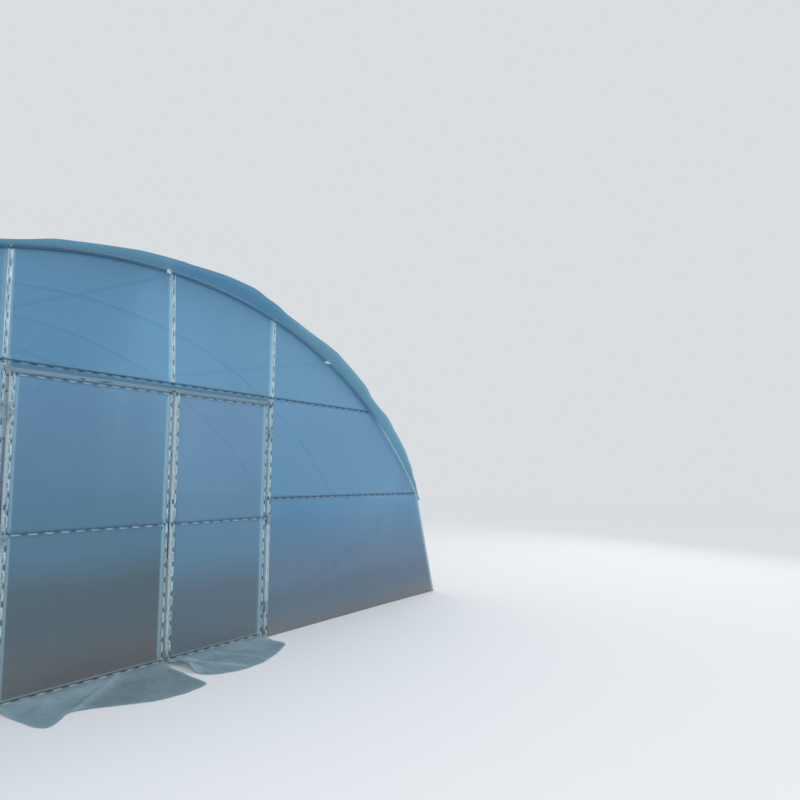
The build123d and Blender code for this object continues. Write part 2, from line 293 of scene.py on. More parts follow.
def makeZincGroup():
    # Galvanised steel: fine spangle and duller patches
    usual = {"Bright": (190, 200, 203), "Dull": (135, 147, 152),
             "Spangle Size": 90.0, "Patch Size": 6.0}
    tree, given, result = newGroup("zincSpangle", usual, ("Color", "Roughness", "Height"))
    place = tree.nodes.new("ShaderNodeTexCoord").outputs["Object"]
    cells = patternNode(tree, "ShaderNodeTexVoronoi", place, given["Spangle Size"])
    patches = patternNode(tree, "ShaderNodeTexNoise", place, given["Patch Size"], Detail=5.0, Roughness=0.6)
    shade = tree.nodes.new("ShaderNodeSeparateColor")
    tree.links.new(cells.outputs["Color"], shade.inputs[0])
    blend = calculate(tree, "MULTIPLY_ADD", shade.outputs[0], 0.45, patches.outputs["Fac"])
    mask = ramp(tree, blend, 0.0, 1.0, 0.45, 1.0)
    colour = mixColours(tree, mask, given["Bright"], given["Dull"])
    connect(tree, result, {"Color": colour, "Roughness": ramp(tree, mask, 0.3, 0.52), "Height": mask})
    return tree


def makeSoilAndShadeGroup():
    # Soil and dust off the ground, and on films painted shade: full low down, gone at the height times the
    # fullness
    usual = {"Height": 0.4, "Fullness": 1.0, "Grain": 9.0, "Unevenness": 0.5}
    tree, given, result = newGroup("soilAndShadeFromGround", usual, ("Mask",))
    place = tree.nodes.new("ShaderNodeTexCoord").outputs["Object"]
    speckle = patternNode(tree, "ShaderNodeTexNoise", place, given["Grain"], Detail=7.0, Roughness=0.65)
    rising = calculate(tree, "DIVIDE", heightOf(tree), given["Height"])
    shift = calculate(tree, "SUBTRACT", speckle.outputs["Fac"], 0.5)
    uneven = calculate(tree, "MULTIPLY_ADD", shift, given["Unevenness"], given["Fullness"])
    fall = calculate(tree, "SUBTRACT", uneven, rising, clamp=True)
    connect(tree, result, {"Mask": ramp(tree, fall, 0.0, 1.0)})
    return tree


def makeCreaseGroup():
    # Handling creases in polythene film: long soft folds crossed by short sharp ones
    usual = {"Fold Scale": 1.6, "Crease Scale": 7.0}
    tree, given, result = newGroup("filmCrease", usual, ("Height", "Shade"))
    place = tree.nodes.new("ShaderNodeTexCoord").outputs["Object"]
    stretch = tree.nodes.new("ShaderNodeMapping")
    stretch.inputs["Scale"].default_value = (1.0, 1.0, 0.35)
    connect(tree, stretch, {"Vector": place})
    folds = patternNode(tree, "ShaderNodeTexNoise", stretch.outputs[0], given["Fold Scale"],
                        Detail=3.0, Roughness=0.5, Distortion=0.6)
    creases = patternNode(tree, "ShaderNodeTexNoise", stretch.outputs[0], given["Crease Scale"],
                          noise_type="RIDGED_MULTIFRACTAL", Detail=4.0, Roughness=0.55)
    total = calculate(tree, "MULTIPLY_ADD", creases.outputs["Fac"], 0.18, folds.outputs["Fac"])
    connect(tree, result, {"Height": total, "Shade": folds.outputs["Fac"]})
    return tree


zincGroup = makeZincGroup()
soilAndShadeGroup = makeSoilAndShadeGroup()
creaseGroup = makeCreaseGroup()

headerZ = sum(c.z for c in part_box("front_header")) / 2
railZ = sum(c.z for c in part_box("front_side_rails")) / 2
postX = sum(c.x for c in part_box("front_right_post")) / 2
centreLow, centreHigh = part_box("front_centre_post")
leafMidZ = 0.99
leaves = {}
for side in ("left", "right"):
    low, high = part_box(side + "_door_channels")
    leaves[side] = [low.x + channel["halfBack"], high.x - channel["halfBack"],
                    low.z + channel["halfBack"], high.z - channel["halfBack"]]
leafLowZ, leafHighZ = leaves["left"][2:]

# Level channels get painted shade, darker than the uprights; the arch's channel is painted shade from the
# second height below, and paler, out of that shade, up to the first
levelChannels = {"heights": (headerZ, railZ, leafHighZ, leafMidZ, leafLowZ), "halfWidth": 0.0155}
brightLegs = (1.75, 2.0)

tubeFace = {"spangle": 110.0, "patch": 5.0, "soil": (124, 120, 108), "soilHeight": 0.12, "metal": 0.1}
wireFace = {"spangle": 300.0, "patch": 30.0, "soil": (120, 110, 95), "soilHeight": 0.05, "metal": 0.2}
zincLooks = {
    "tubeZinc": {**tubeFace, "bright": (172, 212, 226), "dull": (140, 182, 200)},
    # Painted light: the door frames' zinc is a paler copy of the tubes' zinc
    "litLeafZinc": {**tubeFace, "bright": (220, 240, 246), "dull": (186, 214, 224)},
    "channelZinc": {"bright": (226, 238, 238), "dull": (186, 206, 210), "spangle": 150.0,
                    "patch": 9.0, "soil": (150, 150, 140), "soilHeight": 0.12, "metal": 0.2,
                    "levelShade": (62, 98, 120)},
    # Painted shade: the arch channel's zinc is darker than the other channels'
    "shadedArchZinc": {"bright": (92, 142, 164), "dull": (72, 120, 144), "spangle": 150.0,
                 "patch": 9.0, "soil": (120, 124, 118), "soilHeight": 0.12, "metal": 0.1,
                 "legOutOfShade": (150, 200, 212)},
    "wireZinc": {**wireFace, "bright": (212, 228, 234), "dull": (150, 178, 190)},
    # Painted shade: darker copies of the wires' zinc for the level channels, the door rails and the arch
    "shadedLevelWire": {**wireFace, "bright": (118, 150, 172), "dull": (88, 122, 144), "metal": 0.1},
    "shadedRailWire": {**wireFace, "bright": (160, 190, 204), "dull": (118, 150, 168), "metal": 0.1},
    "archWire": {**wireFace, "bright": (112, 160, 178), "dull": (80, 128, 150)},
    "bracketZinc": {**wireFace, "bright": (244, 248, 248), "dull": (214, 224, 228),
                    "spangle": 200.0, "patch": 20.0, "metal": 0.1},
    "hingeZinc": {**wireFace, "bright": (140, 168, 182), "dull": (108, 138, 154),
                  "spangle": 200.0, "patch": 14.0, "metal": 0.4},
}


soilMetal = 0.1   # how metallic soiled zinc looks


def makeZinc(name, look):
    material, tree, shader = newMaterial(name)
    zinc = placeGroup(tree, zincGroup, {
        "Bright": look["bright"], "Dull": look["dull"],
        "Spangle Size": look["spangle"], "Patch Size": look["patch"],
    })
    colour = zinc.outputs["Color"]
    # Painted shade: the level channels are darker at the listed heights
    if "levelShade" in look:
        z = heightOf(tree)
        level = 0.0
        for height in levelChannels["heights"]:
            near = calculate(tree, "COMPARE", z, height, levelChannels["halfWidth"])
            level = calculate(tree, "MAXIMUM", near, level)
        colour = mixColours(tree, level, colour, look["levelShade"])
    # The arch channel's colours are painted shade; down its legs they turn paler, out of that shade
    if "legOutOfShade" in look:
        down = ramp(tree, heightOf(tree), 1.0, 0.0, *brightLegs)
        colour = mixColours(tree, down, colour, look["legOutOfShade"])
    soil = placeGroup(tree, soilAndShadeGroup, {"Height": look["soilHeight"], "Grain": 12.0, "Unevenness": 1.2})
    soiled = soil.outputs["Mask"]
    metal = look["metal"]
    if metal != soilMetal:
        metal = ramp(tree, soiled, metal, soilMetal)
    connect(tree, shader, {
        "Base Color": mixColours(tree, soiled, colour, look["soil"]),
        "Roughness": zinc.outputs["Roughness"],
        "Metallic": metal,
    })
    addBump(tree, shader, zinc.outputs["Height"], 0.25, 0.0006)
    return material


zincs = {name: makeZinc(name, look) for name, look in zincLooks.items()}

doorFace = {"alpha": 0.88, "clearAlpha": 0.4, "shade": (70, 100, 120), "rough": 0.32,
            "folds": 0.7, "creases": 5.0, "bump": 0.22, "pressMarks": (0.6, 0.6)}
# Each layer towards the bottom: its colour, and the heights at which it is full and gone. On the gable and
# doors the highest layer is painted shade, darker towards the bottom, and the lower ones soil and dust
filmLooks = {
    "roofFilm": {"deep": (78, 154, 184), "pale": (98, 172, 202), "alpha": 0.76,
                 "clearAlpha": 0.42, "shade": (54, 144, 186), "rough": 0.32,
                 "layers": [((112, 128, 132), 0.0, 0.3)],
                 "folds": 0.8, "creases": 5.0, "bump": 0.3},
    "gableFilm": {"deep": (78, 135, 172), "pale": (97, 155, 192), "alpha": 0.86,
                  "clearAlpha": 0.4, "shade": (74, 113, 141), "rough": 0.34,
                  "layers": [((89, 120, 147), 0.56, 1.04), ((86, 110, 130), 0.3, 0.5),
                             ((112, 118, 124), 0.0, 0.24)],
                  "folds": 0.55, "creases": 4.0, "bump": 0.22, "pressMarks": (0.95, 0.3)},
    "leftDoorFilm": {**doorFace, "deep": (84, 131, 167), "pale": (100, 149, 183),
                     "layers": [((77, 119, 143), 0.93, 1.9), ((75, 98, 110), 0.62, 0.86),
                                ((104, 106, 106), 0.05, 0.45)]},
    "rightDoorFilm": {**doorFace, "deep": (83, 128, 165), "pale": (99, 146, 181),
                      "layers": [((86, 128, 156), 0.8, 1.5), ((84, 108, 125), 0.48, 0.74),
                                 ((104, 114, 120), 0.0, 0.3)]},
    "looseFilm": {"deep": (126, 158, 172), "pale": (148, 178, 190), "alpha": 0.82,
                  "clearAlpha": 0.6, "shade": (112, 134, 142), "rough": 0.28,
                  "layers": [((128, 136, 136), -0.003, 0.005)],
                  "folds": 3.0, "creases": 14.0, "bump": 0.5},
}
# Colours of the painted marks: painted shade in the channels, painted highlights, and pale borders and
# painted light; and how much less clear the first layer (painted shade on the gable and doors, soil
# elsewhere) and each of the marks make the film
filmMarks = {"grooveShade": (44, 82, 104), "paintedHighlight": (208, 232, 240), "borderAndPaintedLight": (156, 198, 214),
             "soilAndShadeAlpha": 0.1, "borderAndPaintedLightAlpha": 0.12, "doubleAlpha": 0.17, "paintedHighlightAlpha": 0.6,
             "grooveShadeAlpha": 0.6}


def makeFilm(name, look):
    # Pale blue polythene: hazy, clear where it lies on steel, painted shade and painted highlights where a
    # wire presses it into a channel, pale borders and painted light, a deeper colour where shade is painted,
    # and less clear where it lies double
    material, tree, shader = newMaterial(name)
    crease = placeGroup(tree, creaseGroup, {"Fold Scale": look["folds"], "Crease Scale": look["creases"]})
    painted = {}
    for label in ("clear", "grooveShade", "paintedHighlight", "borderAndPaintedLight", "shade", "double"):
        node = addNode(tree, "ShaderNodeAttribute", attribute_name=label)
        painted[label] = node.outputs["Fac"]
    foldShade = ramp(tree, crease.outputs["Shade"], 0.0, 1.0, 0.35, 0.65)
    colour = mixColours(tree, foldShade, look["deep"], look["pale"])
    masks = []
    # The layers darken the film towards the bottom: painted shade on the gable and doors, and soil and dust
    for layer, full, gone in look["layers"]:
        soil = placeGroup(tree, soilAndShadeGroup, {
            "Height": gone - full, "Fullness": gone / (gone - full), "Grain": 2.0, "Unevenness": 0.4,
        })
        masks.append(soil.outputs["Mask"])
        colour = mixColours(tree, masks[-1], colour, layer)
    # The shade mark: a deeper colour, painted shade under the header's channel and on the tails
    colour = mixColours(tree, painted["shade"], colour, look["shade"])
    # Pale borders and painted light, painted shade in the channels, and painted highlights
    for label in ("borderAndPaintedLight", "grooveShade", "paintedHighlight"):
        colour = mixColours(tree, painted[label], colour, filmMarks[label])
    clearing = look["clearAlpha"] - look["alpha"]
    alpha = calculate(tree, "MULTIPLY_ADD", painted["clear"], clearing, look["alpha"])
    alpha = calculate(tree, "MULTIPLY_ADD", masks[0], filmMarks["soilAndShadeAlpha"], alpha)
    for label in ("borderAndPaintedLight", "double", "paintedHighlight", "grooveShade"):
        more = filmMarks[label + "Alpha"]
        alpha = calculate(tree, "MULTIPLY_ADD", painted[label], more, alpha, clamp=label == "grooveShade")
    low, high = look["rough"] - 0.08, look["rough"] + 0.08
    rough = ramp(tree, crease.outputs["Shade"], low, high, 0.3, 0.7)
    connect(tree, shader, {"Base Color": colour, "Alpha": alpha, "Roughness": rough})
    shader.inputs["IOR"].default_value = 1.5
    addBump(tree, shader, crease.outputs["Height"], look["bump"], 0.02)
    return material


films = {name: makeFilm(name, look) for name, look in filmLooks.items()}
print("materials ready")

# CAD pieces that stay get the finish of the first word that is in their name, or the tubes' finish
finishes = {"arch_channel": "shadedArchZinc", "channel": "channelZinc", "lock_rail": "channelZinc",
            "hinges": "hingeZinc", "door_frame": "litLeafZinc", "": "tubeZinc"}
for name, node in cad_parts.items():
    finish = next(look for word, look in finishes.items() if word in name)
    node.data.materials.clear()
    node.data.materials.append(zincs[finish])

# Roof film: one sheet from lock rail to lock rail, with its loose front edge
roof = {
    "sag": 0.013,           # between hoops
    "rest": 0.0008,         # over the hoop's surface
    "lip": 0.0131,          # over the hoop, on the lock rail's lips
    "pressed": 0.009,
    "overClip": 0.0045,     # rise over the clips, where the purlins cross the hoops
    "billow": (0.004, 0.55),     # height and size of the film's soft unevenness
    "wrinkle": (0.0012, 0.12),
    "lengthStep": 0.06,
    "lockLines": [0.0, 0.004, 0.008, 0.011, 0.015, 0.03, 0.05],
    "bayLines": (0.0, 0.008, 0.025, 0.06, 0.12, 0.22, 0.34, 0.47, 0.6),
    "edgeLines": (0.12, 0.25, 0.4, 0.55, 0.7, 0.85, 1.0),
    "flare": 0.2,           # rise of the loose edge for each metre of reach
    "ruffle": 0.016,
    "backReach": 0.05,
    # How far the loose edge stands out in front, across the tunnel
    "edgeReach": [(-3.6, 0.02), (-3.3, 0.09), (-2.9, 0.11), (-2.5, 0.1), (-2.1, 0.15), (-1.6, 0.17),
                  (-1.2, 0.08), (-0.9, 0.12), (-0.3, 0.16), (0.3, 0.19), (0.65, 0.2), (0.9, 0.168),
                  (1.2, 0.14), (1.5, 0.132), (1.84, 0.158), (2.3, 0.147), (2.5, 0.115), (2.62, 0.118),
                  (2.74, 0.13), (2.95, 0.11), (3.15, 0.105), (3.3, 0.085), (3.45, 0.05), (3.6, 0.02)],
    # How deep the loose edge's colour is, across the tunnel
    "deepness": [(-0.4, 0.2), (0.2, 1.0), (1.0, 1.0), (1.5, 0.3), (2.7, 0.1)],
    # Painted light: the loose edge is painted paler from here on, across the tunnel
    "palerFrom": (1.0, 1.5),
}
rightPurlin = lengthAtX(tunnel["purlinX"])
purlinLengths = (rightPurlin, ridgeLength, hoopLength - rightPurlin)


def bayPlace(y):
    # Distance from the nearest hoop as a share of the bay, and how free the film is to move there
    fraction = abs(((y - frontY) / tunnel["bayLength"] + 0.5) % 1.0 - 0.5)
    return fraction, 1 - (1 - 2 * fraction) ** 2


def clearAt(y, fromLock):
    # The film is clear where it lies on a hoop or on a lock rail
    onHoop = hump(bayPlace(y)[0] * tunnel["bayLength"], 0.014)
    return max(onHoop, 1 - smooth(0.014, 0.03, fromLock))


# Painted shade where the film lies in the lock rail's groove
def grooveShadeAt(fromLock):
    return 1 - smooth(0.006, 0.01, fromLock)


def overLockRail(off, drop, y):
    # Lifts the film over the side lock rail's lips and presses it into the groove
    lift = roof["lip"] * (1 - smooth(0.016, 0.07, drop))
    pressed = roof["pressed"] * (1 - smooth(0.003, channel["halfMouth"], drop))
    pucker = 0.0012 * smooth(0.01, 0.03, drop) * math.sin(2 * math.pi * y / wire["wave"])
    return hoopRadius + seatGap + max(off - hoopRadius - seatGap, lift) - pressed + pucker


def roofOff(s, y):
    # Height of the film over the hoop's centre line
    fromLock = min(s, hoopLength - s) - lockLength
    fraction, free = bayPlace(y)
    if y > backY:
        free = 0.0
    off = hoopRadius + roof["rest"] - roof["sag"] * free * smooth(0.0, 0.5, fromLock)
    billow, billowSize = roof["billow"]
    crease, creaseSize = roof["wrinkle"]
    off += billow * free * wave(s, y, 0.0, billowSize) + crease * free * wave(3 * s, 0.6 * y, 5.0, creaseSize)
    for purlinLength in purlinLengths:
        off += roof["overClip"] * hump(fraction * tunnel["bayLength"], 0.03) * hump(s - purlinLength, 0.03)
    return overLockRail(off, fromLock, y) if fromLock < 0.07 else off


def bayDepths():
    depths = []
    for bay in range(tunnel["bayCount"]):
        start = frontY + bay * tunnel["bayLength"]
        depths += [start + d for d in roof["bayLines"]]
        depths += [start + tunnel["bayLength"] - d for d in reversed(roof["bayLines"][1:-1])]
    return depths + [backY]


def makeRoof():
    lockLines = roof["lockLines"] + [0.07]
    extra = [p + d for p in purlinLengths for d in (-0.03, -0.015, 0.0, 0.015, 0.03)]
    lengths = {lockLength + d for d in lockLines} | {hoopLength - lockLength - d for d in lockLines}
    inner = np.arange(lockLength + 0.12, hoopLength - lockLength - 0.1, roof["lengthStep"])
    lengths |= {s for s in inner if min(abs(s - e) for e in extra) > 0.02} | set(extra)
    lengths = sorted(lengths)
    depths = bayDepths() + [backY + 0.008, backY + hoopRadius, backY + roof["backReach"]]
    front = frontY - hoopRadius
    points, marks = [], []
    for s in lengths:
        across = hoopAt(s)[0].x
        reach = follow(roof["edgeReach"], across)
        fromLock = min(s, hoopLength - s) - lockLength
        for t in reversed(roof["edgeLines"]):
            swell = smooth(0.03, 0.1, reach) * t
            off = roofOff(s, front) + roof["flare"] * reach * t * t
            off += roof["ruffle"] * swell * wave(across, 0.15 * t, 1.0, 0.5)
            off += 0.25 * roof["ruffle"] * swell * wave(2.5 * across, t, 8.0, 0.5)
            y = front - reach * t * (1 + 0.08 * wave(across, 2.0, 3.0, 0.45))
            points.append(hoopSpot(s, off, y))
            out = smooth(0.0, 0.3, t)
            # A paler rim at the loose edge, and painted light across its right part
            rim = 0.3 * smooth(0.03, 0.1, reach) * smooth(0.75, 0.86, t)
            pale = rim + 0.42 * smooth(*roof["palerFrom"], across) * out
            marks.append((0.0, grooveShadeAt(fromLock), pale, follow(roof["deepness"], across) * out, 1.0))
        for y in [front] + depths:
            points.append(hoopSpot(s, roofOff(s, y), y))
            marks.append((clearAt(y, fromLock), grooveShadeAt(fromLock), 0.0, 0.0, 0.0))
    faces = gridFaces(len(lengths), len(roof["edgeLines"]) + 1 + len(depths))
    piece = meshPiece("roofFilmSheet", points, faces, films["roofFilm"], "frame")
    paint(piece, ("clear", "grooveShade", "borderAndPaintedLight", "shade", "double"), marks)
    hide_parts("roof_film", "roof_film_edge")


makeRoof()


# Side films: from the lock rail's groove down the legs to the ground
sideFilm = {"slack": (0.01, 0.7), "wrinkle": (0.002, 0.15), "step": 0.07}


def makeSideFilm(side, sideName):
    drops = roof["lockLines"] + [0.08]
    drops += list(np.arange(0.14, lockLength - 0.05, sideFilm["step"])) + [lockLength - 0.02, lockLength]
    depths = [frontY - hoopRadius] + bayDepths() + [backY + hoopRadius]
    (slack, slackSize), (wrinkle, wrinkleSize) = sideFilm["slack"], sideFilm["wrinkle"]
    points, marks = [], []
    for drop in drops:
        for y in depths:
            _, free = bayPlace(y)
            off = hoopRadius + roof["rest"]
            off += slack * free * smooth(0.05, 0.4, drop) * (0.4 + wave(drop, y, side * 4.0, slackSize))
            off += wrinkle * free * wave(0.5 * drop, 3 * y, 9.0, wrinkleSize) * smooth(0.02, 0.1, drop)
            if drop < 0.07:
                off = overLockRail(off, drop, y)
            x, _, z = hoopSpot(lockLength - drop, off, y)
            points.append((side * x, y, max(0.0005, z)))
            marks.append((clearAt(y, drop), grooveShadeAt(drop)))
    faces = gridFaces(len(drops), len(depths))
    piece = meshPiece(sideName + "SideSheet", points, faces, films["gableFilm"], "frame")
    paint(piece, ("clear", "grooveShade"), marks)
    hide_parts(sideName + "_side_film")


makeSideFilm(-1, "left")
makeSideFilm(1, "right")

# Flat film panels: held in lock channels along lines, a little slack between them
panel = {
    "step": 0.05,
    "lineStep": 0.013,
    "besideLine": (0.003, 0.0065, 0.009, 0.0125, 0.018, 0.025, 0.032, 0.05),
    "freeFrom": 0.065,
    "over": 0.0008,          # over the channels' mouths
    "pressed": 0.0075,
    "pucker": 0.0017,
    "puckerFade": 0.06,
    "billow": 0.012,
    "wrinkle": 0.0018,
    "clearBeside": (0.013, 0.02),    # from the middle of an upright, fading out
    # Beside an upright the film is painted pale, painted light where its tube shows through: how wide across
    # the tunnel
    "band": {"left": [(-1.2, 0.03), (0.0, 0.031), (1.2, 0.046)], "right": [(-1.1, 0.026), (-1.0, 0.0)],
             "fade": 0.006, "low": 0.5, "high": [(-1.2, 0.35), (0.0, 0.8)]},
    # Painted light beside the arch low down, as beside the uprights
    "archBand": (0.02, 0.045, 0.4),   # beside the arch low down: full, gone, and how pale
    "levelClear": 0.3,
    # Painted highlight on the upper lip of a leaf's lowest channel
    "lowLip": 0.3,           # how bright the upper lip of a leaf's lowest channel is
}


# Over the doors the film's edge hangs out under the header's channel, folded double, painted shade under it,
# with a painted light rim along its lower edge
flap = {"drop": 0.046, "unevenness": 0.003, "step": 0.06, "reach": (0.0155, 0.06), "rim": 0.45}
doorEdge = postX - channel["halfBack"] + 0.001


def foldedInShadeAt(x, z):
    return float(abs(x) < doorEdge and flap["reach"][0] < headerZ - z < flap["reach"][1])


def spread(start, end, step):
    start, end = Vector(start), Vector(end)
    count = max(1, round((end - start).length / step))
    return [tuple(start.lerp(end, i / count)) for i in range(count + 1)]


def spreadRing(outline, step):
    return [p for a, b in zip(outline, outline[1:] + outline[:1]) for p in spread(a, b, step)[:-1]]


class Lines:
    # The held lines of one panel, as arrays, for quick distances
    def __init__(self, straight, ring=()):
        lines = straight + list(ring)
        self.start = np.array([a for a, b in lines])
        self.run = np.array([b for a, b in lines]) - self.start
        self.length = np.hypot(self.run[:, 0], self.run[:, 1])
        isStraight = np.arange(len(lines)) < len(straight)
        self.bent = ~isStraight
        self.level = isStraight & (np.abs(self.run[:, 1]) < 0.1 * self.length)
        self.steep = isStraight & (np.abs(self.run[:, 0]) < 0.1 * self.length)

    def nearest(self, x, z):
        offset = np.array([x, z]) - self.start
        t = np.clip((offset * self.run).sum(1) / self.length**2, 0, 1)
        gap = offset - self.run * t[:, None]
        distance = np.hypot(gap[:, 0], gap[:, 1])
        return distance, t * self.length


def fillOutline(outline, inner):
    # Triangles over the points inside an outline; points that no face uses are left out
    count = len(outline)
    edges = [(i, (i + 1) % count) for i in range(count)]
    coords = [Vector(p) for p in outline + inner]
    verts, _, faces, *_ = geometry.delaunay_2d_cdt(coords, edges, [list(range(count))], 1, 1e-5)
    order = sorted({i for face in faces for i in face})
    place = {old: new for new, old in enumerate(order)}
    return [verts[i] for i in order], [tuple(place[i] for i in face) for face in faces]


def grooveShadeAndHighlight(held, nearest, distance, x, z, levelDark, levelBright):
    # Painted shade and painted highlights in a channel: dark pockets beside the wire and a bright wire and
    # lips, on a level or upright line; on the arch, painted shade high up and painted highlight down the legs
    inside = 1 - smooth(0.0065, 0.0095, distance)
    start, run = held.start[nearest], held.run[nearest]
    uneven = min(1.0, max(0.0, 0.5 + 1.1 * wave(x, 7.0, z, 0.045)))
    if held.level[nearest]:
        offset = z - start[1] - run[1] * (x - start[0]) / run[0]
        lit = smooth(-0.2, 0.4, zigzagAt(x)) * smooth(0.0, 0.004, -offset)
        bright = levelBright * inside * lit * (0.5 + 0.4 * uneven)
        if start[1] < leafMidZ / 2:
            bright = max(bright, panel["lowLip"] * (1 - inside) * (1 - smooth(0.014, 0.02, abs(offset))))
        return levelDark * inside * (1 - lit), bright
    if held.steep[nearest]:
        offset = x - start[0] - run[0] * (z - start[1]) / run[1]
        pocket = smooth(0.45, 0.95, -zigzagAt(z) * math.copysign(1, offset))
        pocket *= smooth(0.0, 0.003, abs(offset))
        dark = pocket * (0.3 + 0.6 * uneven) + 0.5 * smooth(0.75, 1.0, uneven)
        upper = smooth(headerZ - 0.03, headerZ + 0.05, z)
        lip = (1 - smooth(0.0125, 0.0155, distance)) * (1 - inside * pocket)
        bright = max(inside * (1 - pocket) * (0.95 - 0.45 * uneven), upper * lip * (0.9 - 0.35 * uneven))
        return inside * min(0.85, dark) * (1 - 0.7 * upper), bright
    upper = smooth(*brightLegs, z)
    return 0.4 * inside * upper, 0.7 * inside * (1 - upper)


def paintedLightBand(held, distances, x, z):
    # Painted light: how pale the film is painted beside an upright, and beside the arch low down
    band = panel["band"]
    run = np.where(held.steep, held.run[:, 1], 1.0)
    offset = held.start[:, 0] + held.run[:, 0] * (z - held.start[:, 1]) / run - x
    low = np.minimum(held.start[:, 1], held.start[:, 1] + held.run[:, 1])
    high = np.maximum(held.start[:, 1], held.start[:, 1] + held.run[:, 1])
    pale = 0.0
    for gap in offset[held.steep & (z > low) & (z < high)]:
        reach = follow(band["left" if gap > 0 else "right"], x + gap)
        upper = smooth(headerZ - 0.03, headerZ + 0.05, z)
        strength = band["low"] + (follow(band["high"], x + gap) - band["low"]) * upper
        beside = (1 - smooth(reach, reach + band["fade"], abs(gap))) * smooth(0.01, 0.014, abs(gap))
        pale = max(pale, strength * beside)
    if held.bent.any():
        full, gone, strength = panel["archBand"]
        leg = 1 - smooth(*brightLegs, z)
        pale = max(pale, strength * leg * (1 - smooth(full, gone, float(distances[held.bent].min()))))
    return pale


def filmPanel(name, outline, straight, ring, planeY, outward, look, body, nodes, wrap=None, seed=0.0):
    held = Lines(straight, ring)
    extra = []
    for (ax, az), (bx, bz) in straight + ring:
        across = Vector((-(bz - az), bx - ax)).normalized()
        for off in [sign * gap for gap in panel["besideLine"] for sign in (-1, 1)]:
            for x, z in spread((ax, az), (bx, bz), panel["lineStep"]):
                px, pz = x + across.x * off, z + across.y * off
                if held.nearest(px, pz)[0].min() > abs(off) - 0.0008:
                    extra.append((px, pz))
    (lowX, lowZ), (highX, highZ) = np.min(outline, 0).tolist(), np.max(outline, 0).tolist()
    for x in np.arange(lowX + panel["step"] / 2, highX, panel["step"]):
        for z in np.arange(lowZ + panel["step"] / 2, highZ, panel["step"]):
            px = x + 0.3 * panel["step"] * wave(x * 9, z * 9, 1.0, 1.0)
            pz = z + 0.3 * panel["step"] * wave(x * 9, z * 9, 4.0, 1.0)
            if held.nearest(px, pz)[0].min() > panel["freeFrom"]:
                extra.append((px, pz))
    verts, faces = fillOutline(spreadRing(outline, panel["lineStep"] * 1.5), extra)
    points, marks = [], []
    for v in verts:
        distances, alongs = held.nearest(v.x, v.y)
        nearest = int(distances.argmin())
        distance, along = float(distances[nearest]), float(alongs[nearest])
        height = panel["over"] - panel["pressed"] * (1 - smooth(0.003, channel["halfMouth"], distance))
        ripple = math.sin(2 * math.pi * along / wire["wave"] + seed)
        ripple += 0.6 * wave(along, distance, seed, 0.06)
        fade = math.exp(-distance / panel["puckerFade"]) * smooth(0.009, 0.03, distance)
        height += panel["pucker"] * ripple * fade
        slack = smooth(0.02, 0.45, distance)
        height -= panel["billow"] * slack * (0.55 + 0.9 * wave(v.x, seed, v.y, 0.9))
        height += panel["wrinkle"] * slack * wave(v.x * 3.0, seed, v.y * 0.8, 0.22)
        if wrap:
            height += wrap(v.x, v.y)
        points.append((v.x, planeY + outward * height, v.y))
        besidePost = 1 - smooth(*panel["clearBeside"], float(distances[held.steep].min()))
        # Under the header the flap is folded double, and painted shade
        foldedInShade = foldedInShadeAt(v.x, v.y) if outward < 0 else 0.0
        besideLine = panel["levelClear"] * (1 - smooth(0.015, 0.03, distance)) * (1 - foldedInShade)
        # Painted light: a pale rim along the flap's lower edge, and pale bands beside the uprights and the
        # arch's legs
        rim = flap["rim"] * foldedInShade * smooth(0.034, 0.043, headerZ - v.y)
        pale = max(rim, paintedLightBand(held, distances, v.x, v.y))
        dark, bright = grooveShadeAndHighlight(held, nearest, distance, v.x, v.y, *filmLooks[look]["pressMarks"])
        marks.append((max(besidePost, besideLine), dark, bright, foldedInShade, foldedInShade, pale))
    piece = meshPiece(name, points, faces, films[look], body)
    paint(piece, ("clear", "grooveShade", "paintedHighlight", "shade", "double", "borderAndPaintedLight"), marks)
    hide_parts(*nodes)


frontPlane = frontY - channel["face"]
backPlane = backY + channel["face"]
filmEdge = 0.0165   # the gable films' cut edge, outside the hoop's middle


def archPoints(off, step):
    count = round(hoopLength / step)
    return [tuple(hoopAt(hoopLength * i / count, off)[0]) for i in range(count + 1)]


def wrapRound(x, z):
    # Past the arch channel's outer lip the film turns back to meet the roof film
    p = Vector((abs(x), z))
    if math.atan2(p.y - bendCentre.y, p.x - bendCentre.x) > archAngle:
        off = (p - archCentre).length - archRadius
    elif (foot - p).dot(legDown) < legLength:
        off = (p - foot).dot(legOut)
    else:
        off = (p - bendCentre).length - bendRadius
    return -0.012 * smooth(0.0125, filmEdge, off)


postTopZ = hoopAt(lengthAtX(postX))[0].y
headerEnd = hoopAt(lengthAtHeight(headerZ))[0].x
railEnd = hoopAt(lengthAtHeight(railZ))[0].x
centrePost = ((centreHigh.x - hoopRadius, headerZ), (centreLow.x + hoopRadius, centreHigh.z))
archPath = archPoints(0.0, 0.12)
gableRing = list(zip(archPath, archPath[1:]))
gableLines = [((-headerEnd, headerZ), (headerEnd, headerZ)), centrePost]
for side in (-1, 1):
    gableLines.append(((side * postX, 0.0), (side * postX, postTopZ)))
    gableLines.append(((side * postX, railZ), (side * railEnd, railZ)))

